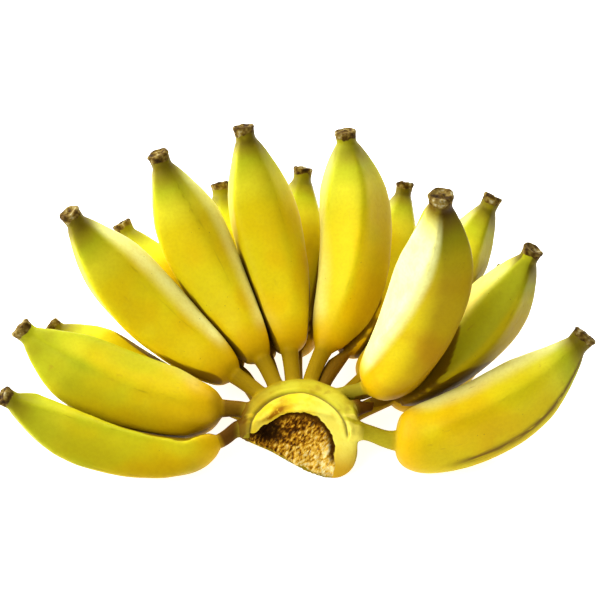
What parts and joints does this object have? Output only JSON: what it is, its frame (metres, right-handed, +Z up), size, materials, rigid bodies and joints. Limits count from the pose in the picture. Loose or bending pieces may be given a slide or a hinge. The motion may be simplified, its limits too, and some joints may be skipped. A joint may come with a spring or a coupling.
{
  "type": "bunch of bananas",
  "caption": "Cut hand of short, angular yellow bananas fanned out from one crown in two rows, lying on its lower row with the tips curving up.",
  "frame": {"origin": "centre of the bounding box in plan, at table height", "axes": "+X across the fan from the left-hand fingers to the right-hand ones, +Y away from the cut face of the crown, +Z up from the table"},
  "size_m": [0.299, 0.1842, 0.1394],
  "materials": {
    "crown_skin": "natural",
    "banana_01_skin": "natural",
    "banana_02_skin": "natural",
    "banana_03_skin": "natural",
    "banana_04_skin": "natural",
    "banana_05_skin": "natural",
    "banana_06_skin": "natural",
    "banana_07_skin": "natural",
    "banana_08_skin": "natural",
    "banana_09_skin": "natural",
    "banana_10_skin": "natural",
    "banana_11_skin": "natural",
    "banana_12_skin": "natural",
    "banana_13_skin": "natural",
    "banana_14_skin": "natural",
    "banana_15_skin": "natural",
    "banana_16_skin": "natural"
  },
  "bodies": {
    "root": {"crown": "crown_skin", "banana_01": "banana_01_skin", "banana_02": "banana_02_skin", "banana_03": "banana_03_skin", "banana_04": "banana_04_skin", "banana_05": "banana_05_skin", "banana_06": "banana_06_skin", "banana_07": "banana_07_skin", "banana_08": "banana_08_skin", "banana_09": "banana_09_skin", "banana_10": "banana_10_skin", "banana_11": "banana_11_skin", "banana_12": "banana_12_skin", "banana_13": "banana_13_skin", "banana_14": "banana_14_skin", "banana_15": "banana_15_skin", "banana_16": "banana_16_skin"}
  },
  "joints": []
}
